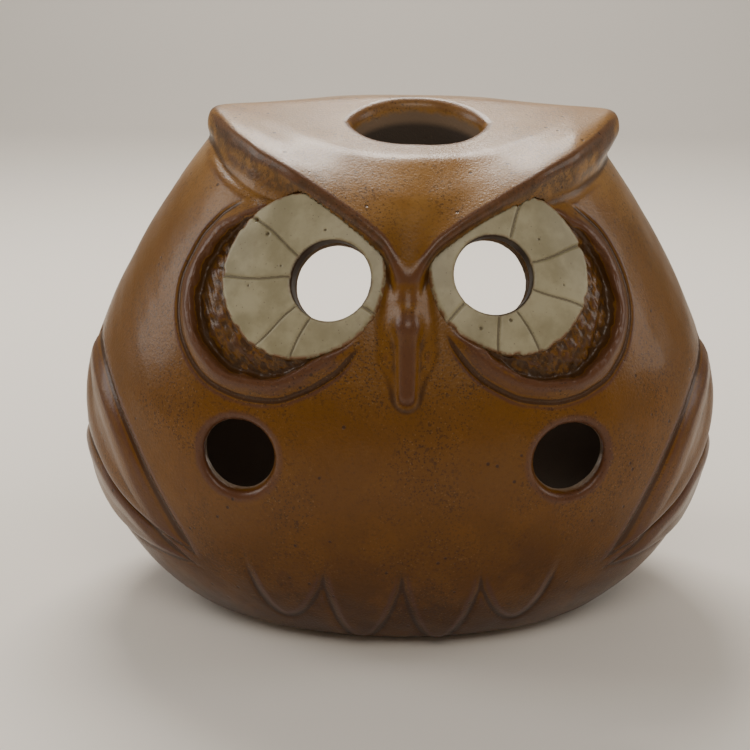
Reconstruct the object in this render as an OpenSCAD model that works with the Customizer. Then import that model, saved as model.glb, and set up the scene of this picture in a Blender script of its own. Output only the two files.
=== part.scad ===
// Owl candle lantern: a hollow stoneware owl with open eyes, two draught holes, a top vent,
// and a wide opening at the back for the tealight that stands inside.
// Millimetres. The owl looks along -Y, +Z is up, and the origin is the centre of the foot.
// Left and right are the owl's own, so its left side is at +X.

/* [Body] */
// Width of the body at its widest
body_w = 165; // [155:1:175]
// Depth of the body as a share of its width
body_depth_share = 0.78; // [0.74:0.01:0.82]
// Height of the widest place above the foot
waist_z = 50; // [48:1:52]
// Radius of the round belly, in section
belly_r = 58; // [56:1:60]
// Radius of the long curve of the upper flanks, in section
flank_r = 190; // [175:1:210]
// Angle above level at which the belly turns into the flank
flank_turn = 22; // [20:1:24]
// Thickness of the clay wall
wall_t = 7; // [6:0.5:8]
// Height of the joint between the body wall and the brow cap
cap_seat_z = 112; // [111:0.5:113]

/* [Base] */
// Thickness of the floor slab
floor_t = 5; // [4:0.5:6]
// Height of the bare foot below the glazed wall
foot_h = 2; // [1.5:0.25:2.5]
// Half the width of the bare foot
foot_r = 52; // [49:0.5:53]

/* [Openings] */
// Radius of the back opening
back_r = 40.5; // [38:0.5:41]
// Height of the centre of the back opening
back_z = 65; // [64:0.5:66]
// Radius of a draught hole
draught_r = 8.4; // [7:0.1:9]
// Sideways place of a draught hole
draught_x = 38.2; // [36:0.1:40]
// Height of a draught hole
draught_z = 52.8; // [51:0.1:55]
// Width of the top vent, corner to corner
vent_w = 34; // [30:0.5:36]
// Front to back size of the top vent
vent_d = 25; // [21:0.5:27]

/* [Eyes] */
// Radius of an eye disc
disc_r = 19.7; // [19:0.1:20.3]
// How far an eye disc stands out of the wall
disc_rise = 1.4; // [1:0.1:2]
// How deep the middle of an eye disc is let into the wall
disc_sink = 3; // [2.6:0.1:3.2]
// Radius of an eye hole
eye_r = 9.3; // [8.5:0.1:10]
// Shift of the owl's left eye hole towards the beak
left_eye_shift = 4.4; // [3:0.1:6]
// Shift of the owl's right eye hole towards the beak
right_eye_shift = 6.8; // [5:0.1:8]
// Width of the clay roll in an eye ring
ring_w = 7; // [6:0.5:8]
// How far an eye ring stands out of the wall
ring_rise = 2.4; // [2:0.1:3]

/* [Relief] */
// How far the wing feathers stand out
wing_rise = 1.6; // [1:0.1:2.5]
// How far the breast feathers stand out
breast_rise = 1.1; // [0.8:0.1:2]

/* [Tealight] */
// Radius of the tealight cup
cup_r = 19; // [18.5:0.1:19.5]
// Height of the tealight cup
cup_h = 15.5; // [14:0.5:16]
// Thickness of the metal of the cup
cup_t = 0.5; // [0.4:0.1:0.8]
// Depth of the empty rim above the wax
cup_ullage = 2; // [1:0.5:3]

/* [Hidden] */
$fn = 96;

big = 300;
eps = 0.01;
glaze = "sienna";
cream = "wheat";
clay = "tan";

// Section of the body: belly arc below, flank arc above, tangent where they meet.
belly_x = body_w / 2 - belly_r;
turn_x = belly_x + belly_r * cos(flank_turn);
turn_z = waist_z + belly_r * sin(flank_turn);
flank_x = turn_x - flank_r * cos(flank_turn);
flank_z = turn_z - flank_r * sin(flank_turn);

// Inside of the floor, and the frames of the eyes
floor_z = foot_h + floor_t;
disc_x = 23.5;
disc_y = -49;
disc_z = 94.3;
disc_tilt = 24;
disc_turn = 16;
ring_x = 30.5;
ring_y = -45.6;
ring_z = 88.7;
ring_tilt = 22;
ring_turn = 23;
ring_r = 24.6;
ring_hollow_x = -1;
ring_hollow_y = 1;
ring_top_z = 108;

// The brow cap, section by section from the middle to the ear tip. Each row holds the distance
// from the middle, then the Y and Z of the lip, the brow, three places on the forehead,
// the crest, three places down the back, and two places underneath.
cap_shift = 2;
cap_rows = [
    [ 0.0, [[-55.5, 92.5], [-56.8, 96.0], [-51.6, 103.0], [-45.5, 111.0], [-34.0, 119.5],
            [4.0, 131.0], [20.0, 130.0], [32.0, 124.5], [43.6, 112.0], [20.0, 108.0], [-30.0, 100.0]]],
    [ 2.5, [[-55.4, 94.0], [-56.2, 98.0], [-51.4, 104.0], [-45.3, 111.3], [-33.8, 119.6],
            [4.0, 131.0], [20.0, 130.0], [32.0, 124.5], [43.5, 112.0], [20.0, 108.0], [-30.0, 100.0]]],
    [ 6.0, [[-52.8, 100.5], [-53.8, 103.8], [-49.8, 107.2], [-44.5, 112.5], [-33.0, 119.8],
            [4.0, 131.0], [20.0, 130.0], [31.8, 124.5], [43.3, 112.0], [20.0, 108.0], [-30.0, 100.0]]],
    [12.0, [[-49.0, 105.0], [-50.2, 108.6], [-45.5, 111.8], [-40.5, 115.2], [-31.0, 120.4],
            [3.8, 130.9], [19.5, 130.0], [31.0, 124.5], [42.6, 112.0], [20.0, 108.0], [-30.0, 100.0]]],
    [20.0, [[-44.0, 109.6], [-45.4, 113.9], [-41.0, 116.4], [-36.0, 118.6], [-28.0, 121.6],
            [3.0, 130.6], [18.0, 129.8], [28.5, 124.7], [40.7, 112.0], [20.0, 108.0], [-28.0, 104.0]]],
    [30.0, [[-37.6, 112.6], [-38.2, 119.8], [-34.0, 121.2], [-29.0, 122.4], [-20.0, 125.0],
            [1.0, 130.0], [13.0, 129.4], [23.0, 124.8], [36.8, 112.0], [18.0, 108.0], [-26.0, 106.0]]],
    [40.0, [[-29.6, 114.2], [-29.0, 123.2], [-25.0, 124.6], [-20.0, 125.6], [-12.0, 127.6],
            [-1.0, 129.4], [7.0, 128.8], [15.0, 124.8], [28.0, 113.0], [14.0, 110.0], [-20.0, 110.0]]],
    [47.0, [[-20.6, 116.8], [-19.0, 125.2], [-16.0, 126.4], [-12.0, 127.2], [-7.0, 128.2],
            [-2.0, 128.8], [3.0, 128.2], [8.0, 124.6], [13.0, 117.0], [4.0, 113.6], [-12.0, 113.6]]],
    [51.5, [[-11.4, 120.6], [-10.8, 126.0], [-9.4, 127.2], [-7.2, 127.8], [-4.6, 128.2],
            [-2.2, 128.3], [0.8, 127.6], [3.0, 125.0], [3.6, 121.6], [-0.6, 119.0], [-7.4, 118.8]]],
    [53.8, [[-7.0, 123.4], [-6.8, 125.6], [-6.2, 126.4], [-5.4, 126.9], [-4.4, 127.0],
            [-3.2, 126.9], [-2.2, 126.4], [-1.4, 125.4], [-1.6, 123.8], [-3.2, 122.8], [-5.4, 122.7]]]
];

// The vent is where two round cutters cross, so it has two pointed corners.
vent_x = 3;
vent_y = -11;
vent_r = (vent_w * vent_w / 4 + vent_d * vent_d / 4) / vent_d;
ceiling_z = 116.5;
ceiling_slope = 13;

// ---------- shared shapes ----------

// The body as a solid that is grown outwards by g, before its top and bottom are cut. It is made
// in four quarters, which keeps each of its curved faces simple.
module body_form(g) {
    for (quarter = [0 : 90 : 270])
        scale([1, body_depth_share, 1])
            rotate(quarter)
                rotate_extrude(angle = 90)
                    body_section(g);
}

// Right-hand half of that section: the belly below a sloping line, the flank above it.
module body_section(g) {
    split_0 = [0, waist_z - belly_x * tan(flank_turn)];
    split_1 = [big, waist_z + (big - belly_x) * tan(flank_turn)];
    intersection() {
        translate([belly_x, waist_z])
            circle(r = belly_r + g);
        polygon([[0, -big], [big, -big], split_1, split_0]);
    }
    intersection() {
        translate([flank_x, flank_z])
            circle(r = flank_r + g, $fn = 256);
        polygon([split_0, split_1, [0, big]]);
    }
}

// Everything between two heights.
module slab(z0, z1) {
    translate([-big / 2, -big / 2, z0])
        cube([big, big, z1 - z0]);
}

// The body's outside, from the top of the foot to the seat of the cap.
module body_solid() {
    intersection() {
        body_form(0);
        slab(foot_h, cap_seat_z);
    }
}

// The hollow inside the cap, under a ceiling that slopes down to the forehead.
module cap_hollow() {
    intersection() {
        body_form(-wall_t);
        slab(cap_seat_z - wall_t, big);
        translate([0, 0, ceiling_z])
            rotate([ceiling_slope, 0, 0])
                translate([-big / 2, -big / 2, -big])
                    cube([big, big, big]);
    }
}

// Places children on an eye, with +Z pointing out of the face. side is 1 for left, -1 for right.
module on_disc(side) {
    translate([side * disc_x, disc_y, disc_z])
        rotate([90 - disc_tilt, 0, side * disc_turn])
            children();
}

module on_ring(side) {
    translate([side * ring_x, ring_y, ring_z])
        rotate([90 - ring_tilt, 0, side * ring_turn])
            children();
}

module eye_hole(side) {
    shift = side > 0 ? left_eye_shift : right_eye_shift;
    on_disc(side)
        translate([-side * shift, 0, -wall_t * 3])
            cylinder(r = eye_r, h = wall_t * 6);
}

// The round seat that is cut for a disc. Its floor is flat.
module disc_seat(side) {
    on_disc(side)
        translate([0, 0, -disc_sink])
            cylinder(r = disc_r, h = wall_t * 3);
}

// Leaf shape from p to q, swelling by left and right of the line between them.
module leaf(p, q, left, right) {
    span = norm(q - p);
    translate(p)
        rotate(atan2(q[1] - p[1], q[0] - p[0]))
            intersection() {
                bulge_circle(span, left, 1);
                bulge_circle(span, right, -1);
            }
}

module bulge_circle(span, swell, side) {
    r = (span * span / 4 + swell * swell) / (2 * swell);
    translate([span / 2, side * (swell - r)])
        circle(r = r, $fn = 128);
}

// ---------- body ----------

module body_shell() {
    color(glaze)
        difference() {
            body_solid();
            body_form(-wall_t);
            slab(-big, floor_z);
            for (side = [-1, 1]) {
                eye_hole(side);
                disc_seat(side);
                translate([side * draught_x, 0, draught_z])
                    rotate([90, 0, 0])
                        cylinder(r = draught_r, h = big);
            }
            translate([0, 0, back_z])
                rotate([-90, 0, 0])
                    cylinder(r = back_r, h = big);
        }
}

module base_floor() {
    color(clay) {
        intersection() {
            body_form(0);
            slab(foot_h, floor_z);
        }
        for (quarter = [0 : 90 : 270])
            scale([1, body_depth_share, 1])
                rotate(quarter)
                    rotate_extrude(angle = 90)
                        square([foot_r, foot_h]);
    }
}

// ---------- brow cap and beak ----------

function mirrored_rows(rows) = concat(
    [for (i = [len(rows) - 1 : -1 : 1]) [-rows[i][0], rows[i][1]]],
    rows
);

// Skins the rows of sections into one closed solid.
module cap_loft() {
    rows = mirrored_rows(cap_rows);
    n = len(rows[0][1]);
    last = len(rows) - 1;
    points = [for (row = rows, p = row[1]) [row[0], p[0], p[1]]];
    skin = [
        for (i = [0 : last - 1], j = [0 : n - 1])
            let (a = i * n + j, b = i * n + (j + 1) % n)
                for (t = [[a, b, b + n], [a, b + n, a + n]]) t
    ];
    ends = [[for (j = [n - 1 : -1 : 0]) j], [for (j = [0 : n - 1]) last * n + j]];
    translate([cap_shift, 0, 0])
        polyhedron(points, concat(skin, ends));
}

module vent() {
    translate([vent_x, vent_y, cap_seat_z - wall_t])
        intersection_for (side = [-1, 1])
            translate([0, side * (vent_r - vent_d / 2), 0])
                cylinder(r = vent_r, h = wall_t * 5);
}

module brow_cap() {
    color(glaze)
        difference() {
            cap_loft();
            body_solid();
            cap_hollow();
            vent();
            for (side = [-1, 1])
                disc_seat(side);
        }
}

module beak() {
    color(glaze)
        difference() {
            hull() {
                translate([cap_shift, -54.5, 93]) sphere(r = 2.2, $fn = 32);
                translate([cap_shift, -61.5, 80]) sphere(r = 2.6, $fn = 32);
                for (side = [-1, 1])
                    translate([cap_shift + side * 3.6, -60.4, 76.5]) sphere(r = 2.6, $fn = 32);
                translate([cap_shift, -64.6, 67.2]) sphere(r = 2.2, $fn = 32);
            }
            body_solid();
        }
}

// ---------- eyes ----------

module eye_disc(side) {
    color(cream)
        difference() {
            intersection() {
                disc_seat(side);
                body_form(disc_rise);
            }
            eye_hole(side);
        }
}

module left_eye_disc() { eye_disc(1); }
module right_eye_disc() { eye_disc(-1); }

// A crescent of clay that lies around the lower and outer sides of the disc.
module eye_ring(side) {
    color(glaze)
        difference() {
            intersection() {
                on_ring(side)
                    difference() {
                        cylinder(r = ring_r, h = 2 * wall_t);
                        translate([side * ring_hollow_x, ring_hollow_y, -eps])
                            cylinder(r = ring_r - ring_w, h = 2 * wall_t + 2 * eps);
                    }
                body_form(ring_rise);
                slab(foot_h, ring_top_z);
            }
            body_form(0);
            disc_seat(side);
        }
}

module left_eye_ring() { eye_ring(1); }
module right_eye_ring() { eye_ring(-1); }

// ---------- wings, in side view: Y to the right, Z up ----------

wing_tip = [-47, 25];
wing_shoulder = [-6, 71];
lower_tip = [-44, 21];
lower_root = [4, 45];
flank_x0 = 20;

module upper_feather_outline() {
    leaf(wing_tip, wing_shoulder, 15.5, 4.5);
}

module lower_feather_outline() {
    difference() {
        leaf(lower_tip, lower_root, 9, 8);
        upper_feather_outline();
    }
}

// A layer of the given rise on one flank, cut to the outline.
module flank_relief(side, rise) {
    difference() {
        intersection() {
            body_form(rise);
            slab(foot_h, cap_seat_z);
            rotate([90, 0, 90])
                mirror([0, 0, side > 0 ? 0 : 1])
                    translate([0, 0, flank_x0])
                        linear_extrude(height = big)
                            children();
        }
        body_form(0);
    }
}

module upper_wing_feather(side) {
    color(glaze) flank_relief(side, wing_rise) upper_feather_outline();
}

module lower_wing_feather(side) {
    color(glaze) flank_relief(side, wing_rise * 0.7) lower_feather_outline();
}

module left_upper_wing_feather() { upper_wing_feather(1); }
module left_lower_wing_feather() { lower_wing_feather(1); }
module right_upper_wing_feather() { upper_wing_feather(-1); }
module right_lower_wing_feather() { lower_wing_feather(-1); }

// ---------- breast feathers, in front view: X to the right, Z up ----------

breast_top = 36;
inner_x = 9.4;
outer_x = 27.6;
front_y0 = 20;

module inner_breast_outline() {
    intersection() {
        leaf([inner_x, 2.4], [inner_x, 48], 10.6, 10.6);
        square([big, breast_top - 4]);
    }
}

module outer_breast_outline() {
    difference() {
        intersection() {
            leaf([outer_x, 8.6], [outer_x + 2, 54], 10.8, 10.8);
            square([big, breast_top]);
        }
        inner_breast_outline();
    }
}

module front_relief(side, rise) {
    difference() {
        intersection() {
            body_form(rise);
            slab(foot_h, cap_seat_z);
            mirror([side > 0 ? 0 : 1, 0, 0])
                rotate([90, 0, 0])
                    translate([0, 0, front_y0])
                        linear_extrude(height = big)
                            children();
        }
        body_form(0);
    }
}

module left_inner_breast_feather() { color(glaze) front_relief(1, breast_rise) inner_breast_outline(); }
module right_inner_breast_feather() { color(glaze) front_relief(-1, breast_rise) inner_breast_outline(); }
module left_outer_breast_feather() { color(glaze) front_relief(1, breast_rise) outer_breast_outline(); }
module right_outer_breast_feather() { color(glaze) front_relief(-1, breast_rise) outer_breast_outline(); }

// ---------- tealight ----------

wick_r = 0.8;
tab_r = 6;
tab_h = 0.4;
tab_neck_r = 1.6;
tab_neck_h = 3;
wick_top = 8;

module tealight_cup() {
    color("silver")
        translate([0, 0, floor_z])
            difference() {
                cylinder(r = cup_r, h = cup_h);
                translate([0, 0, cup_t])
                    cylinder(r = cup_r - cup_t, h = cup_h);
            }
}

module tealight_wax() {
    color("ivory")
        translate([0, 0, floor_z + cup_t])
            difference() {
                cylinder(r = cup_r - cup_t, h = cup_h - cup_t - cup_ullage);
                translate([0, 0, -eps])
                    cylinder(r = tab_r, h = tab_h + eps);
                cylinder(r = tab_neck_r, h = tab_h + tab_neck_h);
                cylinder(r = wick_r, h = cup_h);
            }
}

module tealight_wick_tab() {
    color("silver")
        translate([0, 0, floor_z + cup_t])
            difference() {
                union() {
                    cylinder(r = tab_r, h = tab_h);
                    cylinder(r = tab_neck_r, h = tab_h + tab_neck_h);
                }
                translate([0, 0, tab_h])
                    cylinder(r = wick_r, h = cup_h);
            }
}

module tealight_wick() {
    color("white")
        translate([0, 0, floor_z + cup_t + tab_h])
            cylinder(r = wick_r, h = cup_h - cup_t - tab_h - cup_ullage + wick_top);
}

body_shell();
base_floor();
brow_cap();
beak();
left_eye_disc();
right_eye_disc();
left_eye_ring();
right_eye_ring();
left_upper_wing_feather();
left_lower_wing_feather();
right_upper_wing_feather();
right_lower_wing_feather();
left_inner_breast_feather();
right_inner_breast_feather();
left_outer_breast_feather();
right_outer_breast_feather();
tealight_cup();
tealight_wax();
tealight_wick();
tealight_wick_tab();
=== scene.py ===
"""Looks of the owl candle lantern.

The clay is sculpted as a distance field, in millimetres, on the same frame as the CAD. One field
holds the body and everything that is blended onto it, and each piece is cut out of it and meshed.
"""

import math

import bpy
import numpy as np
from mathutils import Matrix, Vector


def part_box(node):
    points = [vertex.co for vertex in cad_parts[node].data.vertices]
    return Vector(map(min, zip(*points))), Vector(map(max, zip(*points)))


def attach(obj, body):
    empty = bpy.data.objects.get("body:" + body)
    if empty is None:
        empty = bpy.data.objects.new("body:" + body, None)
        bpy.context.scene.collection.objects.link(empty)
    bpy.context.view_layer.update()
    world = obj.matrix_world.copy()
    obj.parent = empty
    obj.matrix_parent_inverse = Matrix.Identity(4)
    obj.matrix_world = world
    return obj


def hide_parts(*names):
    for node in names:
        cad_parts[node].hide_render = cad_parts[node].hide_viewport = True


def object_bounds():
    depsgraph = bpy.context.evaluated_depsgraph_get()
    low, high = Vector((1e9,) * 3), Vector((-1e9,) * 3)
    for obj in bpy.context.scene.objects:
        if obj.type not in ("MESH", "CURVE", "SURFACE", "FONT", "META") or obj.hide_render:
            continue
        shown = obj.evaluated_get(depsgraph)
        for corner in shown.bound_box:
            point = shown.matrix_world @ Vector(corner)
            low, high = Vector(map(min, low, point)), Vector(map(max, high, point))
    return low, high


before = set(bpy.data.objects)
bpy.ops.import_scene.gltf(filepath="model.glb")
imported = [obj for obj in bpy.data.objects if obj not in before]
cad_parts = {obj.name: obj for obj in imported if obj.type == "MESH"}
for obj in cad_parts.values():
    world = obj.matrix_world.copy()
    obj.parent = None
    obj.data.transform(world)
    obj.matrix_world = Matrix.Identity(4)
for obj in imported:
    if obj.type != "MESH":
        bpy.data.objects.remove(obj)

import openvdb as vdb
from mathutils import Matrix, Vector

FIRST_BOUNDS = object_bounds()
MM = 0.001


def node_box(name):
    """The lowest and highest corner of a CAD node, in millimetres."""
    lo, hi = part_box(name)
    return np.array(lo) / MM, np.array(hi) / MM


# ---------------------------------------------------------------- sizes, in millimetres

# Boxes come from the CAD's nodes. The rest repeats the CAD's values, or lies within 2 mm of them.

SHELL_LO, SHELL_HI = node_box("body_shell")
CAP_LO, CAP_HI = node_box("brow_cap")
BASE_LO, BASE_HI = node_box("base_floor")

HALF_W = SHELL_HI[0]
SHARE = -SHELL_LO[1] / HALF_W
SEAT_Z = SHELL_HI[2]
FLOOR_Z = BASE_HI[2]
FOOT_H = 2.0
FOOT_R = 52.0
WAIST_Z = 50.0
BELLY_R = 58.0
FLANK_R = 190.0
TURN = math.radians(22)
WALL = 7.0

BELLY_X = HALF_W - BELLY_R
FLANK_X = BELLY_X + (BELLY_R - FLANK_R) * math.cos(TURN)
FLANK_Z = WAIST_Z + (BELLY_R - FLANK_R) * math.sin(TURN)

BACK_R, BACK_Z = 40.5, 65.0
DRAUGHT_R, DRAUGHT_X, DRAUGHT_Z = 8.4, 38.2, 52.8
BEAK_SHIFT, CAP_LEAN = 0.2, 2.4
VENT_X, VENT_Y, VENT_W, VENT_D = 3.4, -11.6, 32.6, 25.4
CEILING_Z, CEILING_SLOPE = 116.5, math.radians(13)

DISC_R, DISC_RISE, DISC_SINK = 19.9, 1.2, 3.0
EYE_R = 9.3
EYE_SHIFT = {1: 4.4, -1: 7.1}
EYE_DROP = 1.1
RING_R = 24.6
HOLE_ROUND = 2.2
INNER_DEPTH = WALL * 0.86


# ---------------------------------------------------------------- field tools


def smax(a, b, k):
    """The larger of two fields, with the edge between them rounded by about k."""
    h = np.clip(0.5 + 0.5 * (a - b) / k, 0, 1)
    return b + (a - b) * h + k * h * (1 - h)


def smin(a, b, k):
    return -smax(-a, -b, k)


def step(lo, hi, t):
    """0 at lo, 1 at hi, and smooth between."""
    s = np.clip((t - lo) / (hi - lo), 0, 1)
    return s * s * (3 - 2 * s)


def bell(t, width):
    return np.exp(-((t / width) ** 2))


def wobble(x, y, z, size, seed=0.0):
    """Smooth unevenness between about -1 and 1, with lumps of the given size."""
    k = 2 * math.pi / size
    return (
        np.sin(k * (x + 0.6 * y) + seed)
        * np.sin(k * (0.8 * z - 0.5 * x) + 1.7 * seed + 1.0)
        + 0.6 * np.sin(k * 1.7 * (y - 0.4 * z) + 2.3 * seed) * np.sin(k * 1.5 * (x + z) + seed)
    ) / 1.6


# ---------------------------------------------------------------- body


def body_form(x, y, z):
    """Signed distance, near enough, to the outside of the body."""
    q = np.sqrt(x * x + (y / SHARE) ** 2) + 1e-6
    stretch = np.sqrt(x * x + (y / SHARE**2) ** 2) / q
    below = (z - WAIST_Z) * math.cos(TURN) < (q - BELLY_X) * math.sin(TURN)
    a = q - np.where(below, BELLY_X, FLANK_X)
    b = z - np.where(below, WAIST_Z, FLANK_Z)
    r = np.sqrt(a * a + b * b) + 1e-6
    d = r - np.where(below, BELLY_R, FLANK_R)
    return d * r / np.sqrt((a * stretch) ** 2 + b * b)


# ---------------------------------------------------------------- eyes


class Plane:
    """A frame on the face: u to the viewer's right, v up, n out of the face.

    The side is 1 for the owl's left eye and -1 for its right one. Angles are in degrees.
    """

    def __init__(self, side, x, y, z, tilt, turn):
        t, s = math.radians(tilt), side * math.radians(turn)
        self.centre = (side * x, y, z)
        self.u = (math.cos(s), math.sin(s), 0.0)
        self.v = (-math.sin(t) * math.sin(s), math.sin(t) * math.cos(s), math.cos(t))
        self.n = (math.cos(t) * math.sin(s), -math.cos(t) * math.cos(s), math.sin(t))

    def local(self, x, y, z):
        dx, dy, dz = x - self.centre[0], y - self.centre[1], z - self.centre[2]
        return tuple(dx * e[0] + dy * e[1] + dz * e[2] for e in (self.u, self.v, self.n))


DISC = {1: Plane(1, 24.2, -48.6, 95.9, 24, 15), -1: Plane(-1, 23.9, -48.9, 94.5, 24, 16)}
RING = {s: Plane(s, 30.5, -45.6, 88.7, 22, 23) for s in (1, -1)}

# Directions of the grooves in each disc, seen from the front, from the eye hole outwards
GROOVES = {-1: (146, 181, 224, 248, -32), 1: (62, 16, -21, -63, -92, -140)}

# Pits in each disc: u, v and radius
PITS = {
    -1: (
        (-9.5, 9.0, 0.55), (-13.0, 12.5, 0.6), (-5.0, 1.5, 0.35), (-12.5, -3.5, 0.3), (4.5, 10.5, 0.4),
    ),
    1: (
        (-5.5, 13.8, 0.95), (-1.8, -11.8, 0.5), (7.5, 7.0, 0.35), (12.5, -4.0, 0.3), (-9.0, -13.2, 0.45),
    ),
}


def eye_hole(x, y, z, side):
    """Signed distance, across the disc, to the edge of the hole through it."""
    u, v, _ = DISC[side].local(x, y, z)
    return np.hypot(u + side * EYE_SHIFT[side], v + EYE_DROP) - EYE_R


def disc_edge(u, v, side):
    """Radius of the disc by direction: a little uneven, and nicked where a groove meets it."""
    a = np.arctan2(v, u)
    r = DISC_R - 0.15 + 0.12 * np.sin(3 * a + side) + 0.1 * np.sin(5 * a + 2 * side)
    for g in GROOVES[side]:
        turn = np.angle(np.exp(1j * (a - math.radians(g))))
        r = r - 0.5 * bell(turn, 0.05) + 0.25 * bell(turn, 0.22)
    return r


def disc_field(x, y, z, side, form):
    """Signed distance to a disc that rises a little over the body's form."""
    u, v, n = DISC[side].local(x, y, z)
    face = form - DISC_RISE + 0.12 * wobble(u, v, n, 23, side) + 0.25 * step(10, 20, np.hypot(u, v))
    hu, hv = u + side * EYE_SHIFT[side], v + EYE_DROP
    for g in GROOVES[side]:
        c, s = math.cos(math.radians(g)), math.sin(math.radians(g))
        along, off = hu * c + hv * s, -hu * s + hv * c
        off = off + 0.35 * np.sin(along / 3.1 + g)
        face = face + 0.55 * bell(off, 0.36) * step(EYE_R - 1.0, EYE_R + 1.0, along)
        face = face + 0.18 * step(0, 5, -off) * step(5, 0, -off) * step(EYE_R, EYE_R + 3, along)
    for pu, pv, r in PITS[side]:
        face = face + 1.5 * r * bell(np.hypot(u - pu, v - pv), r * 0.8)
    d = smax(face, np.hypot(u, v) - disc_edge(u, v, side), 1.1)
    d = smax(d, -n - DISC_SINK, 0.3)
    hole = np.hypot(hu, hv) - EYE_R - 0.15 * np.sin(2 * np.arctan2(hv, hu) + side)
    d = smax(d, -hole, 0.8)
    return np.maximum(d, -cap_front(x, y, z) - 2.0)


def socket(x, y, z, side):
    """How far the face is raised or sunk around one eye, and how deep in the socket it is."""
    u, v, n = DISC[side].local(x, y, z)
    a = np.hypot(u, v) - DISC_R
    ru, rv, rn = RING[side].local(x, y, z)
    b = RING_R - np.hypot(ru, rv)
    gap = a + b
    front = step(-14, -8, n) * step(-16, -10, rn)
    open_end = step(0.5, 4.5, gap) * (1 - step(103, 111, z))
    b = b + 0.3 * wobble(x, y, z, 19, 2.0 * side)
    wall = 5.0 + 0.45 * wobble(x, y, z, 13, side)
    roll = 1.75 * step(-0.3, 3.2, b) * (1 - step(wall - 1.0, wall + 0.9, b))
    floor = -1.6 * step(wall - 1.2, wall + 0.5, b) * (1 - 0.75 * step(wall + 0.5, wall + 6.0, b))
    floor = floor * step(5.5, 9.5, gap)
    crease = -0.5 * bell(b + 0.2, 0.7)
    lumps = 0.26 * wobble(x, y, z, 7.3, 1.0) + 0.14 * wobble(x, y, z, 3.4, 2.0)
    lumps = lumps * step(2.0, 5.5, b) * step(4.0, 8.0, gap)
    where = front * open_end * step(-0.8, 0.5, a)
    deep = where * step(wall - 1.0, wall + 1.0, b)
    return where * (roll + floor + crease + lumps), deep


# ---------------------------------------------------------------- wings and breast


def leaf(y, z, p, q, left, right):
    """Signed distance to a leaf from p to q that swells by left and right of its middle line."""
    span = math.hypot(q[0] - p[0], q[1] - p[1])
    cx, cz = (q[0] - p[0]) / span, (q[1] - p[1]) / span
    along, off = (y - p[0]) * cx + (z - p[1]) * cz, -(y - p[0]) * cz + (z - p[1]) * cx
    out = None
    for swell, s in ((left, 1), (right, -1)):
        r = (span * span / 4 + swell * swell) / (2 * swell)
        d = np.hypot(along - span / 2, off - s * (swell - r)) - r
        out = d if out is None else np.maximum(out, d)
    return out


# The ends of each feather's outline, in Y and Z
WING_TIP, WING_SHOULDER = (-43.8, 25.0), (-6.0, 71.0)
LOWER_TIP, LOWER_ROOT = (-41.5, 21.0), (4.0, 45.0)


def upper_feather(y, z):
    return leaf(y, z, WING_TIP, WING_SHOULDER, 13.2, 4.5)


def lower_feather(y, z):
    return leaf(y, z, LOWER_TIP, LOWER_ROOT, 9.0, 8.0)


def wings(x, y, z):
    """How far the flanks are raised by the wings."""
    flank = step(30, 40, np.abs(x))
    up, low = upper_feather(y, z), lower_feather(y, z)
    only_low = np.maximum(low, -up)
    rise = 1.1 * step(-0.3, 3.4, -up) * (1 - 0.45 * step(3.5, 11, -up))
    rise_low = 0.95 * step(-0.2, 3.0, -only_low) * (1 - 0.35 * step(3, 9, -only_low))
    crease = -0.6 * bell(up - 0.2, 0.75) - 0.42 * bell(only_low - 0.2, 0.7)
    fold = -0.25 * bell(up + 7.0, 2.2) * step(3, 8, -up)
    return flank * (np.maximum(rise, rise_low) + crease + fold)


# The breast feathers' tips: across, height of the tip, and how fast the outline opens upwards
INNER_X, OUTER_X = 9.4, 27.6
LOBES = ((-OUTER_X, 8.6, 0.17), (-INNER_X, 2.0, 0.235), (INNER_X, 1.6, 0.235), (OUTER_X, 8.4, 0.17))


def scallops(x, z):
    """Signed distance to the breast apron, from the front: negative inside a feather."""
    line, slope = None, None
    for cx, low, k in LOBES:
        t = np.abs(x - cx)
        zl = low + k * t**2
        s = 2 * k * t
        if line is None:
            line, slope = zl, s
        else:
            slope = np.where(zl < line, s, slope)
            line = np.minimum(line, zl)
    return (line - z) / np.sqrt(1 + slope**2)


def breast(x, y, z):
    """How far the front is raised by the breast feathers."""
    d = scallops(x, z)
    front = step(20, 30, -y)
    fade = 1 - step(17, 33, z)
    rise = 0.55 * step(-0.3, 2.2, -d) * fade
    crease = -0.3 * bell(d - 0.2, 0.8) * (1 - step(26, 33, z)) * (1 - step(35, 38.5, np.abs(x)))
    return front * (rise * (1 - step(37, 40, np.abs(x))) + crease)


# ---------------------------------------------------------------- brow cap

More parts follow.
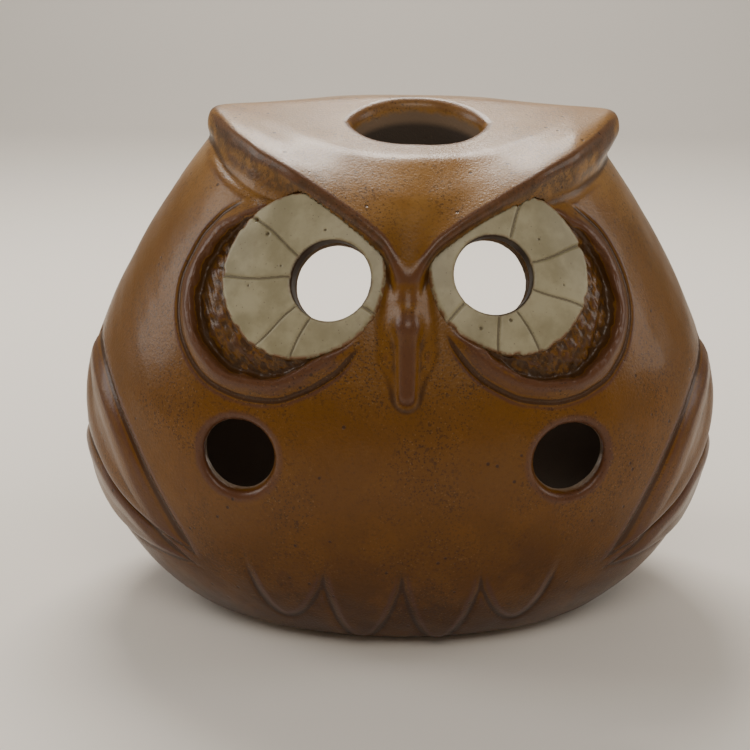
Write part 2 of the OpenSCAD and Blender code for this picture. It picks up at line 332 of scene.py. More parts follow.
# Section by section from the middle to the ear tip: the distance from the middle, then Y and Z of
# the lip, the brow, three places on the forehead, the crest and three places down the back.
CAP_ROWS = (
    (0.0, ((-55.5, 92.5), (-56.8, 96.0), (-51.6, 103.0), (-45.5, 111.0), (-34.0, 119.5),
           (4.0, 131.0), (20.0, 130.0), (32.0, 124.5), (43.6, 112.0))),
    (2.5, ((-55.4, 93.6), (-56.2, 97.6), (-51.4, 103.6), (-45.3, 111.0), (-33.8, 119.4),
           (4.0, 131.0), (20.0, 130.0), (32.0, 124.5), (43.5, 112.0))),
    (6.0, ((-52.8, 99.7), (-54.2, 102.8), (-50.0, 106.3), (-44.5, 111.8), (-33.0, 119.4),
           (4.0, 131.0), (20.0, 130.0), (31.8, 124.5), (43.3, 112.0))),
    (12.0, ((-49.6, 103.6), (-51.0, 107.0), (-46.3, 110.2), (-41.0, 113.8), (-31.0, 119.6),
            (3.8, 130.8), (19.5, 130.0), (31.0, 124.5), (42.6, 112.0))),
    (20.0, ((-44.8, 107.4), (-46.6, 111.4), (-42.0, 114.2), (-36.4, 117.0), (-28.0, 120.8),
            (3.0, 130.4), (18.0, 129.8), (28.5, 124.7), (40.7, 112.0))),
    (30.0, ((-38.4, 110.6), (-39.8, 116.6), (-35.4, 118.6), (-29.8, 120.6), (-20.0, 124.0),
            (1.0, 129.8), (13.0, 129.2), (23.0, 124.8), (36.8, 112.0))),
    (40.0, ((-30.4, 113.6), (-30.6, 120.6), (-26.6, 122.6), (-21.0, 124.6), (-12.0, 127.0),
            (-1.0, 129.4), (7.0, 128.8), (15.0, 124.8), (28.0, 113.0))),
    (47.0, ((-21.0, 117.0), (-20.2, 123.6), (-17.0, 125.4), (-12.6, 126.9), (-7.0, 128.3),
            (-2.0, 129.2), (3.0, 128.6), (8.0, 124.8), (13.0, 117.0))),
    (51.5, ((-11.8, 121.0), (-11.4, 125.8), (-9.8, 127.3), (-7.4, 128.3), (-4.6, 128.9),
            (-2.2, 129.0), (0.8, 128.2), (3.0, 125.4), (3.6, 121.6))),
    (53.8, ((-7.0, 124.0), (-6.8, 126.6), (-6.2, 127.5), (-5.4, 128.0), (-4.4, 128.2),
            (-3.2, 128.0), (-2.2, 127.4), (-1.4, 126.2), (-1.3, 124.0))),
)
CAP_NARROW, CAP_HALF_W, CAP_BOTTOM_Z, BACK_EDGE_Z = 0.965, 54.0, 86.0, 107.0

GRID_MM = 0.5
GRID_X = np.arange(-62, 62 + GRID_MM, GRID_MM)
GRID_Y = np.arange(-70, 60 + GRID_MM, GRID_MM)


def blur(a, sigma, axis):
    """Gaussian blur along one axis, in grid steps."""
    n = int(3 * sigma) + 1
    w = np.exp(-0.5 * (np.arange(-n, n + 1) / sigma) ** 2)
    w /= w.sum()
    pad = [(n, n) if i == axis else (0, 0) for i in range(a.ndim)]
    p = np.pad(a, pad, mode="edge")
    out = np.zeros_like(a)
    for i, f in enumerate(w):
        out += f * np.take(p, range(i, i + a.shape[axis]), axis=axis)
    return out


def cap_tables():
    """The heights of the cap's top and of the roof under it, and its lines, over a grid."""
    xs = np.array([r[0] for r in CAP_ROWS])
    pts = np.array([r[1] for r in CAP_ROWS], float)
    ax = np.abs(GRID_X)
    rows = np.stack(
        [[np.interp(ax, xs, pts[:, j, k]) for k in (0, 1)] for j in range(pts.shape[1])]
    )
    top = np.empty((len(GRID_X), len(GRID_Y)))
    roof = np.empty_like(top)
    sink = np.array([3, 3, 3, 3, 3, 3, 3, 1.5, 0])
    for i in range(len(GRID_X)):
        y, z = rows[:, 0, i], rows[:, 1, i]
        roof[i] = np.interp(GRID_Y, np.maximum.accumulate(y), z - sink)
        y, z = y[1:], z[1:]
        front = (z[1] - z[0]) / max(y[1] - y[0], 0.3)
        back = (z[-1] - z[-2]) / max(y[-1] - y[-2], 0.3)
        y = np.concatenate([[y[0] - 30], y, [y[-1] + 30]])
        z = np.concatenate([[z[0] - 30 * front], z, [z[-1] + 30 * back]])
        top[i] = np.interp(GRID_Y, y, z)
    over = np.clip(ax - xs[-1], 0, None)
    top -= (over * 3)[:, None]
    top = blur(blur(top, 2.4, 0), 2.6, 1)
    roof = blur(blur(roof, 2.4, 0), 2.6, 1)
    lines = blur(rows, 2.0, 2)
    return top, roof, lines


TOP, ROOF, LINES = cap_tables()
TOP_SLOPE = np.hypot(*np.gradient(TOP, GRID_MM))
ROOF_SLOPE = np.hypot(*np.gradient(ROOF, GRID_MM))


def bilinear(grid, x, y):
    fx = np.clip((x - GRID_X[0]) / GRID_MM, 0, len(GRID_X) - 1.001)
    fy = np.clip((y - GRID_Y[0]) / GRID_MM, 0, len(GRID_Y) - 1.001)
    fx, fy = np.broadcast_arrays(fx, fy)
    ix, iy = fx.astype(int), fy.astype(int)
    tx, ty = fx - ix, fy - iy
    return (
        grid[ix, iy] * (1 - tx) * (1 - ty)
        + grid[ix + 1, iy] * tx * (1 - ty)
        + grid[ix, iy + 1] * (1 - tx) * ty
        + grid[ix + 1, iy + 1] * tx * ty
    )


def across(x, z):
    """How far across the cap a place is. The cap leans to the owl's left as it rises."""
    return (x - BEAK_SHIFT - CAP_LEAN * step(92, 122, z)) / CAP_NARROW


def under_roof(d, x, y, z):
    """The body, ended under the top of the cap."""
    cx = across(x, z)
    steep = np.clip(bilinear(ROOF_SLOPE, cx, y), 0, 4)
    return smax(d, (z - bilinear(ROOF, cx, y)) / np.sqrt(1 + steep**2), 2.5)


def line_at(row, part, x):
    """Y (part 0) or Z (part 1) of the lip (row 0) or the brow (row 1)."""
    return np.interp(x, GRID_X, LINES[row, part])


def vent(x, y):
    """Signed distance, seen from above, to the lens-shaped vent in the crown."""
    r = (VENT_W**2 / 4 + VENT_D**2 / 4) / VENT_D
    off = r - VENT_D / 2
    px, py = x - VENT_X, y - VENT_Y
    return np.maximum(np.hypot(px, py - off) - r, np.hypot(px, py + off) - r)


def cap_front(x, y, z):
    """The front and underside of the slab alone. Negative behind them."""
    cx = across(x, z)
    lip_y, lip_z = line_at(0, 0, cx), line_at(0, 1, cx)
    brow_y, brow_z = line_at(1, 0, cx), line_at(1, 1, cx)
    lean = (brow_y - lip_y) / np.maximum(brow_z - lip_z, 1.0)
    front = lip_y + (z - lip_z) * lean - y
    under = (lip_z - 0.35 * (y - lip_y) - z) * 0.9
    return smax(front, under, 2.0)


def cap_form(x, y, z):
    """The horned slab, before it is blended onto the body."""
    cx = across(x, z)
    steep = np.clip(bilinear(TOP_SLOPE, cx, y), 0, 6)
    top = (z - bilinear(TOP, cx, y)) / np.sqrt(1 + steep**2)
    d = smax(top, cap_front(x, y, z), 2.2)
    d = smax(d, BACK_EDGE_Z - 40.0 * step(5, -25, y) - z, 5.0)
    return smax(d, np.abs(cx) - CAP_HALF_W, 1.5)


# ---------------------------------------------------------------- beak


def cone(x, y, z, a, b, ra, rb):
    """Signed distance to a rod from a to b with a radius at each end."""
    a, b = np.array(a, float), np.array(b, float)
    ab = b - a
    px, py, pz = x - a[0], y - a[1], z - a[2]
    t = np.clip((px * ab[0] + py * ab[1] + pz * ab[2]) / ab.dot(ab), 0, 1)
    return np.sqrt((px - t * ab[0]) ** 2 + (py - t * ab[1]) ** 2 + (pz - t * ab[2]) ** 2) - (
        ra + (rb - ra) * t
    )


def beak_form(x, y, z):
    """The nose ridge and the beak, before they are blended onto the body."""
    cx = x - BEAK_SHIFT
    nose = cone(cx, y, z, (0, -54.0, 93.5), (0, -58.4, 84.5), 2.2, 2.0)
    d = cone(cx, y, z, (0, -57.6, 85.0), (0, -61.2, 70.0), 2.9, 1.7)
    for s in (-1, 1):
        cheek = cone(cx, y, z, (s * 1.2, -54.8, 89.0), (s * 3.1, -57.2, 77.0), 1.7, 2.8)
        low = cone(cx, y, z, (s * 3.1, -57.2, 77.0), (s * 0.3, -61.0, 68.5), 2.8, 1.5)
        d = smin(d, smin(cheek, low, 1.2), 1.6)
    d = smin(d, nose, 3.0)
    ridge = cone(cx, y, z, (0, -59.6, 84.0), (0, -62.7, 69.2), 1.5, 1.1)
    return smin(d, ridge, 2.8)


# ---------------------------------------------------------------- the whole of the clay


def surface(x, y, z):
    """The outside of the body with all its relief, and the socket depth."""
    form = body_form(x, y, z) + 0.22 * wobble(x, y, z, 47, 0.4) + 0.07 * wobble(x, y, z, 17, 3.0)
    left, deep_left = socket(x, y, z, 1)
    right, deep_right = socket(x, y, z, -1)
    relief = left + right + wings(x, y, z) + breast(x, y, z)
    return form, relief, np.maximum(deep_left, deep_right)


def holes(x, y, z):
    """Everything that is cut through the wall. Negative inside a hole."""
    cut = None
    for side in (1, -1):
        px, pz = x - side * DRAUGHT_X, z - DRAUGHT_Z
        a = np.arctan2(pz, px)
        r = DRAUGHT_R + 0.12 * np.sin(2 * a + side) + 0.08 * np.sin(3 * a)
        d = smax(np.hypot(px, pz) - r, y + 10, 1.0)
        cut = d if cut is None else np.minimum(cut, d)
        d = smax(eye_hole(x, y, z, side), y + 10, 1.0)
        cut = np.minimum(cut, d)
    back = smax(np.hypot(x, z - BACK_Z) - BACK_R + 0.3 * wobble(x, 0, z, 60, 1.0), 10 - y, 1.0)
    return np.minimum(cut, back)


def clay(x, y, z):
    """The clay as one blended piece, then the same without its holes, and the socket depth."""
    form, relief, deep = surface(x, y, z)
    skin = smin(under_roof(form - relief, x, y, z), cap_form(x, y, z), 0.8 + 2.0 * step(8, -20, y))
    skin = smin(skin, beak_form(x, y, z), 1.5 + 2.5 * step(76, 86, z))
    skin = smax(skin, FOOT_CLIP_Z - z, 1.2)
    d = smax(skin, -vent(x, y), 2.4)
    return smax(d, -holes(x, y, z), HOLE_ROUND), skin, deep


def hollow(x, y, z, form):
    """The inside of the lantern. Negative in the hollow."""
    ceiling = (z - CEILING_Z - y * math.tan(CEILING_SLOPE)) * math.cos(CEILING_SLOPE)
    return smax(form + INNER_DEPTH, ceiling, 5.0)


# ---------------------------------------------------------------- pieces, as fields

# Neighbours show the same clay. Where they meet, at t = 0, one dips under the other.
SEAM_DIP = 0.5
FOOT_CLIP_Z = FOOT_H + 0.2


def tuck(t):
    """Added to a field to sink its surface where t is above 0."""
    return SEAM_DIP * step(-0.3, 1.2, t)


def reach(t):
    """Added to a field to sink its surface where t is below 0."""
    return SEAM_DIP * step(0.3, -1.2, t)


def ring_area(x, y, z, side):
    u, v, n = DISC[side].local(x, y, z)
    ru, rv, rn = RING[side].local(x, y, z)
    t = np.minimum(RING_R + 1.9 - np.hypot(ru, rv), np.hypot(u, v) - DISC_R + 2.5)
    return np.minimum(np.minimum(t, rn + 14), 109.0 - z)


def upper_area(x, y, z, side):
    return np.minimum(1.7 - upper_feather(y, z), side * x - 36)


def lower_area(x, y, z, side):
    return np.minimum(1.7 - lower_feather(y, z), side * x - 36)


def breast_area(x, y, z):
    t = np.minimum(1.8 - scallops(x, z), 33.5 - z)
    return np.minimum(np.minimum(t, 39.0 - np.abs(x)), -24 - y)


def cap_area(x, y, z):
    return np.maximum(3.4 - cap_form(x, y, z), np.minimum(z - SEAT_Z + 2.0, 4.0))


def beak_area(x, y, z):
    return 2.2 + 1.6 * step(76, 86, z) - beak_form(x, y, z)


def shell_piece(x, y, z):
    form, _, _ = surface(x, y, z)
    covered = np.maximum(cap_area(x, y, z), beak_area(x, y, z))
    covered = np.maximum(covered, breast_area(x, y, z))
    sockets = None
    for side in (1, -1):
        for area in (ring_area, upper_area, lower_area):
            covered = np.maximum(covered, area(x, y, z, side))
        ring = ring_area(x, y, z, side)
        sockets = ring if sockets is None else np.maximum(sockets, ring)
    outside = under_roof(form, x, y, z) + tuck(covered) + 2.4 * step(1.0, 4.0, sockets)
    d = smax(outside, -(form + INNER_DEPTH), 1.0)
    d = smax(d, -holes(x, y, z), HOLE_ROUND)
    for side in (1, -1):
        u, v, n = DISC[side].local(x, y, z)
        seat = np.maximum(np.hypot(u, v) - DISC_R + 0.5, -n - DISC_SINK + 0.3)
        d = np.maximum(d, -seat)
    d = smax(d, FOOT_CLIP_Z - z, 1.2)
    return np.maximum(d, z - SEAT_Z)


def base_piece(x, y, z):
    form = body_form(x, y, z)
    slab = np.maximum(form + 1.0, FOOT_H - z)
    q = np.hypot(x, y / SHARE)
    foot = smax(q - FOOT_R, -z, 0.6)
    d = smin(slab, np.maximum(foot, z - FOOT_H - 1), 0.8)
    return np.maximum(np.maximum(d, z - FLOOR_Z), -z)


def cap_piece(x, y, z):
    d, skin, _ = clay(x, y, z)
    t = cap_area(x, y, z)
    d = np.maximum(d + reach(t) + tuck(beak_area(x, y, z)), -t - 1.5)
    # below the seat the cap is only skin deep, above it the cap is the whole wall
    d = np.maximum(d, -(skin + 4.0) - 100.0 * step(SEAT_Z - 2.0, SEAT_Z, z))
    d = smax(d, -hollow(x, y, z, skin), 1.2)
    for side in (1, -1):
        d = np.maximum(d, 0.1 - disc_field(x, y, z, side, body_form(x, y, z)))
    return np.maximum(d, CAP_BOTTOM_Z - z)


def beak_piece(x, y, z):
    d, _, _ = clay(x, y, z)
    t = beak_area(x, y, z)
    d = np.maximum(d + reach(t), -t - 1.5)
    return np.maximum(d, -(body_form(x, y, z) + 2.0))


def relief_piece(x, y, z, t, depth):
    form, relief, _ = surface(x, y, z)
    d = np.maximum(form - relief + reach(t), -t - 1.5)
    d = smax(d, FOOT_CLIP_Z - z, 1.2)
    return np.maximum(d, -(form + depth))


def ring_piece(side):
    def field(x, y, z):
        t = ring_area(x, y, z, side)
        over = np.maximum(cap_area(x, y, z), beak_area(x, y, z))
        return relief_piece(x, y, z, t, 3.0) + tuck(over)

    return field


def wing_piece(side, upper):
    def field(x, y, z):
        up, low = upper_area(x, y, z, side), lower_area(x, y, z, side)
        if upper:
            return relief_piece(x, y, z, up, 2.0)
        return relief_piece(x, y, z, low, 2.0) + tuck(up)

    return field


def breast_piece(side, inner):
    def field(x, y, z):
        sx, split = side * x, (INNER_X + OUTER_X) / 2
        t = breast_area(x, y, z)
        d = relief_piece(x, y, z, t, 2.0)
        if inner:
            return np.maximum(np.maximum(d, -0.8 - sx), sx - split - 0.8)
        return np.maximum(d + 0.04, split - 0.8 - sx)

    return field


def disc_rim(p, side):
    """How near the rims of a disc, and how far down the wall of its hole."""
    u, v, _ = DISC[side].local(*p.T)
    hole = np.hypot(u + side * EYE_SHIFT[side], v + EYE_DROP) - EYE_R
    rims = bell(np.hypot(u, v) - disc_edge(u, v, side) - 0.1, 0.9) + 0.5 * bell(hole - 0.4, 0.5)
    return rims, step(0.35, 0.1, hole)


def brow_face(p):
    """The face and underside of the slab, darkened partly as darker glaze and partly as painted shade
    under the overhang, and the depth below the skin.
    """
    return 0.85 * bell(cap_front(*p.T), 1.3) * step(88, 97, p[:, 2]), -clay(*p.T)[1]


def disc_piece(side):
    def field(x, y, z):
        return disc_field(x, y, z, side, body_form(x, y, z))

    return field


# ---------------------------------------------------------------- meshes


VALUES_AT_ONCE = 1.5e6


def polygonise(field, lo, hi, voxel):
    """Vertices and faces of the field's zero surface inside a box."""
    axes = [
        np.arange(a - 2 * voxel, b + 2.01 * voxel, voxel, dtype=np.float32) for a, b in zip(lo, hi)
    ]
    values = np.empty([len(a) for a in axes], np.float32)
    x, y = axes[0][:, None, None], axes[1][None, :, None]
    block = max(1, int(VALUES_AT_ONCE / (len(axes[0]) * len(axes[1]))))
    for k in range(0, len(axes[2]), block):
        z = axes[2][None, None, k : k + block]
        values[:, :, k : k + block] = field(x, y, z)
    edge = 3 * voxel
    np.clip(values, -edge, edge, out=values)
    for side in (0, -1):
        values[side], values[:, side], values[:, :, side] = edge, edge, edge
    grid = vdb.FloatGrid(edge)
    grid.copyFromArray(values)
    points, tris, quads = grid.convertToPolygons(isovalue=0.0, adaptivity=0.0)
    points = points * voxel + np.array([a[0] for a in axes])
    faces = tris.tolist() + quads.tolist()
    return points, faces


def gradient(field, p, h=0.25):
    out = np.empty_like(p)
    for i in range(3):
        step_by = np.zeros(3)
        step_by[i] = h
        a, b = p + step_by, p - step_by
        out[:, i] = field(*a.T) - field(*b.T)
    return out / (np.linalg.norm(out, axis=1, keepdims=True) + 1e-9)


def curvature(field, p, h):
    """Curvature of a field at each vertex: above 0 on edges, below 0 in creases."""
    total = -6 * field(*p.T)
    for i in range(3):
        step_by = np.zeros(3)
        step_by[i] = h
        total += field(*(p + step_by).T) + field(*(p - step_by).T)
    return np.clip(total / h**2, -1.5, 1.5)


def outer(x, y, z):
    return clay(x, y, z)[0]


def shared_normals(shared, field, p):
    """Normals of the shared clay where a piece shows its surface, and of the piece elsewhere."""
    own = gradient(field, p, 0.12)
    if shared is field:
        return own
    common = gradient(shared, p)
    near = step(0.5, 0.2, np.abs(shared(*p.T))) * step(0.3, 0.7, (own * common).sum(1))
    near = near[:, None]
    mixed = own * (1 - near) + common * near
    return mixed / (np.linalg.norm(mixed, axis=1, keepdims=True) + 1e-9)


def sculpt(name, node, field, lo, hi, voxel, material, slot, with_glaze=True, shared=outer,
           mask=None):
    """Mesh a field inside a box as the piece that replaces a CAD node.

    The mask gives two values by vertex for the material's "socket" and "depth" attributes.
    """
    points, faces = polygonise(field, lo, hi, voxel)
    mesh = bpy.data.meshes.new(name)
    mesh.from_pydata((points * MM).tolist(), [], faces)
    mesh.validate()
    p = np.array([v.co for v in mesh.vertices]) / MM
    if with_glaze:
        edge_glaze_and_crease_shade = curvature(shared, p, 1.3 if shared is outer else 0.45)
        if mask is None:
            _, skin, deep = clay(*p.T)
            depth = -skin
        else:
            deep, depth = mask(p)
        for label, values in (("edge", edge_glaze_and_crease_shade), ("depth", depth), ("socket", deep)):
            layer = mesh.attributes.new(label, "FLOAT", "POINT")
            layer.data.foreach_set("value", np.asarray(values, np.float32))
    mesh.polygons.foreach_set("use_smooth", [True] * len(mesh.polygons))
    if shared is not None:
        mesh.normals_split_custom_set_from_vertices(shared_normals(shared, field, p).tolist())
    mesh.materials.append(material)
    obj = bpy.data.objects.new(name, mesh)
    bpy.context.scene.collection.objects.link(obj)
    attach(obj, "lantern")
    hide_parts(node)
    print(name, len(mesh.vertices), "vertices")


# ---------------------------------------------------------------- materials


class Nodes:
    """Short hand for building a material's nodes."""

    def __init__(self, name):
        self.mat = bpy.data.materials.new(name)
        self.mat.use_nodes = True
        self.tree = self.mat.node_tree
        self.bsdf = self.tree.nodes["Principled BSDF"]
        coords = self.add("ShaderNodeTexCoord")
        scale = self.add("ShaderNodeVectorMath", operation="SCALE")
        self.link(coords.outputs["Object"], scale.inputs[0])
        scale.inputs["Scale"].default_value = 1 / MM
        self.mm = scale.outputs[0]
        split = self.add("ShaderNodeSeparateXYZ")
        self.link(self.mm, split.inputs[0])
        self.x, self.y, self.z = split.outputs

    def add(self, kind, **settings):
        node = self.tree.nodes.new(kind)
        for k, v in settings.items():
            setattr(node, k, v)
        return node

    def link(self, a, b):
        if isinstance(a, (int, float)):
            b.default_value = a
        elif isinstance(a, tuple):
            b.default_value = (*a, 1.0)[: len(b.default_value)]
        else:
            self.tree.links.new(a, b)

    def math(self, op, a, b=0.0, clamp=False):
        n = self.add("ShaderNodeMath", operation=op, use_clamp=clamp)
        for i, v in enumerate((a, b)):
            self.link(v, n.inputs[i])
        return n.outputs[0]

    def plus(self, a, b):
        return self.math("ADD", a, b)

    def times(self, a, b):
        return self.math("MULTIPLY", a, b)

    def around_zero(self, noise, spread):
        """A noise moved to lie about 0, and spread out."""
        return self.times(self.math("SUBTRACT", noise, 0.5), spread)

    def ramp(self, v, lo, hi, out_lo=0.0, out_hi=1.0):
        n = self.add("ShaderNodeMapRange", interpolation_type="SMOOTHSTEP")
        for i, s in enumerate((v, lo, hi, out_lo, out_hi)):
            self.link(s, n.inputs[i])
        return n.outputs[0]

    def noise(self, size, detail=2.0, rough=0.5, offset=(0, 0, 0)):
        """Noise with lumps of the given size in millimetres."""
        at = self.add("ShaderNodeVectorMath", operation="ADD")
        self.link(self.mm, at.inputs[0])
        at.inputs[1].default_value = offset
        n = self.add("ShaderNodeTexNoise")
        self.link(at.outputs[0], n.inputs["Vector"])
        n.inputs["Scale"].default_value = 1 / size
        n.inputs["Detail"].default_value = detail
        n.inputs["Roughness"].default_value = rough
        return n.outputs[0]

    def specks(self, size, offset=(0, 0, 0)):
        """Distance to the nearest of many scattered points, in cells of the given size."""
        at = self.add("ShaderNodeVectorMath", operation="ADD")
        self.link(self.mm, at.inputs[0])
        at.inputs[1].default_value = offset
        n = self.add("ShaderNodeTexVoronoi")
        self.link(at.outputs[0], n.inputs["Vector"])
        n.inputs["Scale"].default_value = 1 / size
        return n.outputs["Distance"]

    def mix(self, factor, a, b):
        n = self.add("ShaderNodeMix", data_type="RGBA")
        self.link(factor, n.inputs["Factor"])
        self.link(a, n.inputs["A"])
        self.link(b, n.inputs["B"])
        return n.outputs["Result"]

    def attribute(self, name):
        return self.add("ShaderNodeAttribute", attribute_name=name).outputs["Fac"]

    def bump(self, height, distance, strength=1.0, under=None):
        n = self.add("ShaderNodeBump")
        self.link(height, n.inputs["Height"])
        n.inputs["Distance"].default_value = distance * MM
        n.inputs["Strength"].default_value = strength
        if under is not None:
            self.link(under, n.inputs["Normal"])
        return n.outputs[0]

    def finish(self, colour, roughness, normal):
        self.link(colour, self.bsdf.inputs["Base Color"])
        self.link(roughness, self.bsdf.inputs["Roughness"])
        self.link(normal, self.bsdf.inputs["Normal"])
        return self.mat


def glaze():
    """Amber iron glaze: darker low down and paler on top, partly its own tone and partly painted light
    from above and painted shade low down; thin and purplish on edges; dark in creases, from pooled glaze
    and painted shade; speckled.
    """
    m = Nodes("amber_glaze")
    edge, depth, deep = m.attribute("edge"), m.attribute("depth"), m.attribute("socket")
    # darker towards the bottom and paler on top: partly the glaze's own tone, partly painted light from
    # above and painted shade low down
    clouds = m.noise(26, 3, 0.55)
    height = m.plus(m.z, m.around_zero(clouds, 40))
    colour = m.mix(m.ramp(height, 2, 46), (0.050, 0.015, 0.0003), (0.118, 0.043, 0.0006))
    colour = m.mix(m.ramp(height, 42, 92), colour, (0.148, 0.060, 0.003))
    colour = m.mix(m.ramp(height, 98, 126), colour, (0.300, 0.150, 0.036))
    amber = m.ramp(m.noise(11, 4, 0.6, (7, 3, 1)), 0.42, 0.66)
    colour = m.mix(m.times(amber, 0.35), colour, (0.165, 0.062, 0.001))

    # a fine oily grain all over, strongest in drifts
    drift = m.ramp(m.noise(19, 3, 0.6, (4, 8, 2)), 0.40, 0.64)
    oil = m.noise(0.85, 3, 0.65, (3, 3, 3))
    shade = m.times(m.ramp(oil, 0.52, 0.68), m.plus(m.times(drift, 0.45), 0.22))
    colour = m.mix(shade, colour, (0.032, 0.012, 0.003))
    glint = m.times(m.ramp(oil, 0.40, 0.28), m.plus(m.times(drift, 0.22), 0.10))
    colour = m.mix(glint, colour, (0.26, 0.13, 0.04))

    # thin and purplish over edges; dark in creases, where the glaze pools and painted shade is laid;
    # dark and mottled glaze in the socket troughs, and on the brow's face partly darker glaze and partly
    # painted shade under the overhang
    mottle = m.noise(2.2, 3, 0.6, (1, 9, 4))
    thin = m.ramp(m.plus(edge, m.around_zero(mottle, 0.22)), 0.10, 0.42)
    colour = m.mix(m.times(thin, 0.72), colour, (0.080, 0.030, 0.018))
    # painted shade in creases, together with the glaze pooled there
    pooled_and_crease_shade = m.ramp(edge, -0.10, -0.45)
    colour = m.mix(m.times(pooled_and_crease_shade, 0.75), colour, (0.026, 0.009, 0.004))
    # a darker mottled glaze in the socket troughs; on the brow's face darker glaze and painted shade
    # under the overhang
    dark_glaze_and_brow_shade = m.times(m.ramp(deep, 0.1, 0.9), m.ramp(mottle, 0.36, 0.64, 0.10, 0.70))
    colour = m.mix(dark_glaze_and_brow_shade, colour, (0.050, 0.026, 0.010))

    # iron specks, thick in drifts
    fine = m.specks(0.75)
    grain = m.times(m.ramp(fine, 0.34, 0.16), m.plus(m.times(drift, 0.62), 0.10))
    colour = m.mix(grain, colour, (0.030, 0.012, 0.005))
    light = m.specks(1.1, (5, 5, 5))
    pale = m.times(m.ramp(light, 0.22, 0.10), m.plus(m.times(drift, 0.22), 0.02))
    colour = m.mix(pale, colour, (0.32, 0.20, 0.08))
    spots = m.specks(5.5, (2, 6, 1))
    spot = m.ramp(spots, 0.10, 0.05)
    colour = m.mix(m.times(spot, 0.8), colour, (0.030, 0.012, 0.006))

    # the wall of each hole runs out to bare clay, and deeper in, the bare clay darkens to painted shade
    # inside the lantern
    bare = m.ramp(m.plus(depth, m.around_zero(mottle, 2.2)), 2.0, 3.6)
    # more than 4.5 mm below the skin: painted shade
    inside = m.mix(m.ramp(depth, 4.5, 6.5), (0.20, 0.135, 0.085), (0.060, 0.045, 0.034))
    colour = m.mix(bare, colour, inside)

    satin = m.plus(0.25, m.times(m.noise(7, 3, 0.6), 0.16))
    satin = m.plus(satin, m.times(drift, 0.05))
    rough = m.math("ADD", satin, m.times(bare, 0.45), clamp=True)
    normal = m.bump(m.noise(4.5, 2, 0.5), 0.10, 0.5)
    normal = m.bump(m.noise(0.62, 2, 0.6), 0.11, 0.8, normal)
    normal = m.bump(m.ramp(spots, 0.10, 0.05, 1, 0), 0.12, 0.6, normal)
    m.bsdf.inputs["IOR"].default_value = 1.5
    m.bsdf.inputs["Specular IOR Level"].default_value = 0.26
    m.bsdf.inputs["Coat Weight"].default_value = 0.12
    m.bsdf.inputs["Coat Roughness"].default_value = 0.14
    return m.finish(colour, rough, normal)


def cream():
    """Satin greenish cream glaze with fine pits."""
    m = Nodes("cream_glaze_satin")
    clouds = m.noise(9, 4, 0.6)
    colour = m.mix(m.ramp(clouds, 0.35, 0.68), (0.235, 0.203, 0.115), (0.335, 0.297, 0.185))
    edge = m.attribute("edge")
    colour = m.mix(m.ramp(m.noise(2.0, 3, 0.6), 0.56, 0.74, 0, 0.30), colour, (0.20, 0.155, 0.085))
    # darker in the grooves and pits: painted shade
    colour = m.mix(m.ramp(edge, -0.25, -0.9, 0, 0.75), colour, (0.11, 0.085, 0.05))
    rim = m.times(m.attribute("socket"), m.ramp(m.noise(1.7, 3, 0.6), 0.30, 0.62, 0.25, 1.0))
    colour = m.mix(m.ramp(rim, 0.20, 0.85, 0, 0.9), colour, (0.16, 0.066, 0.022))
    colour = m.mix(m.attribute("depth"), colour, (0.045, 0.022, 0.011))
    fine = m.specks(1.6)
    colour = m.mix(m.ramp(fine, 0.13, 0.06, 0, 0.7), colour, (0.14, 0.10, 0.06))
    rough = m.plus(0.36, m.times(clouds, 0.16))
    normal = m.bump(m.noise(3.5, 2, 0.5), 0.08, 0.5)
    normal = m.bump(m.noise(0.6, 2, 0.5), 0.02, 0.5, normal)
    return m.finish(colour, rough, normal)


def bare_clay():
    m = Nodes("buff_stoneware")
    grain = m.noise(0.7, 3, 0.7)
    colour = m.mix(m.ramp(m.noise(12, 3, 0.6), 0.35, 0.7), (0.33, 0.23, 0.15), (0.44, 0.33, 0.23))
    colour = m.mix(m.ramp(grain, 0.55, 0.75, 0, 0.4), colour, (0.20, 0.13, 0.08))
    return m.finish(colour, m.plus(0.8, m.times(grain, 0.15)), m.bump(grain, 0.15, 0.8))


def drawn_metal():
    m = Nodes("drawn_aluminium")
    m.bsdf.inputs["Metallic"].default_value = 1.0
    grain = m.noise(1.4, 3, 0.6)
    colour = m.mix(grain, (0.72, 0.72, 0.72), (0.86, 0.86, 0.85))
    return m.finish(colour, m.ramp(grain, 0.3, 0.7, 0.22, 0.38), m.bump(grain, 0.04, 0.5))


def paraffin():
    m = Nodes("paraffin_wax")
    clouds = m.noise(6, 3, 0.6)
    m.bsdf.inputs["Subsurface Weight"].default_value = 0.35
    m.bsdf.inputs["Subsurface Scale"].default_value = 0.004
    colour = m.mix(clouds, (0.80, 0.78, 0.72), (0.88, 0.87, 0.83))
    return m.finish(colour, m.ramp(clouds, 0.3, 0.7, 0.38, 0.52), m.bump(clouds, 0.25, 0.5))


def cotton():
    m = Nodes("cotton_wick")
    braid = m.add("ShaderNodeTexWave", wave_type="BANDS", bands_direction="DIAGONAL")
    m.link(m.mm, braid.inputs["Vector"])
    braid.inputs["Scale"].default_value = 0.9
    colour = m.mix(braid.outputs["Fac"], (0.62, 0.58, 0.50), (0.82, 0.80, 0.74))
    return m.finish(colour, 0.9, m.bump(braid.outputs["Fac"], 0.15, 0.8))


GLAZE, CREAM, BARE = glaze(), cream(), bare_clay()


# ---------------------------------------------------------------- make the pieces


def around(node, m):
    lo, hi = node_box(node)
    return lo - m, hi + m


def glazed(name, node, field, box, voxel, **more):
    sculpt(name, node, field, *box, voxel, GLAZE, "glaze", **more)


